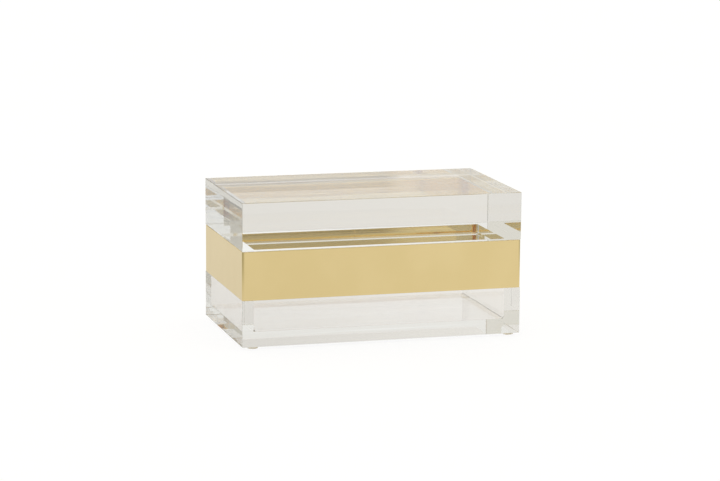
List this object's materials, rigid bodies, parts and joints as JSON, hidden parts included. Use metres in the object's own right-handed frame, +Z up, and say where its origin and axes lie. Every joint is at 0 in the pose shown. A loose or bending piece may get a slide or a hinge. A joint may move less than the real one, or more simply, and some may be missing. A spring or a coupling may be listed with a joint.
{
  "type": "acrylic keepsake box",
  "caption": "Clear acrylic keepsake box with a satin gold metal band round its walls and a solid lift-off lid with a locating plate.",
  "frame": {"origin": "middle of the footprint, on the surface that the feet stand on", "axes": "+X along the front from left to right, +Y from front to back, +Z up"},
  "size_m": [0.2032, 0.1142, 0.1039],
  "materials": {
    "clear_acrylic": "polished clear acrylic with a faint warm grey tint",
    "satin_gold": "satin gold metal strip",
    "clear_bumper": "clear soft bumper"
  },
  "bodies": {
    "box": {"front_wall": "clear_acrylic", "back_wall": "clear_acrylic", "left_wall": "clear_acrylic", "right_wall": "clear_acrylic", "floor_plate": "clear_acrylic", "gold_band": "satin_gold", "foot_front_left": "clear_bumper", "foot_front_right": "clear_bumper", "foot_back_left": "clear_bumper", "foot_back_right": "clear_bumper"},
    "lid": {"lid_block": "clear_acrylic", "lid_locating_plate": "clear_acrylic"}
  },
  "joints": [
    {"name": "lid_lift", "type": "slide", "parent": "box", "child": "lid", "axis": [0, 0, 1], "range_m": [0, 0.07]}
  ]
}
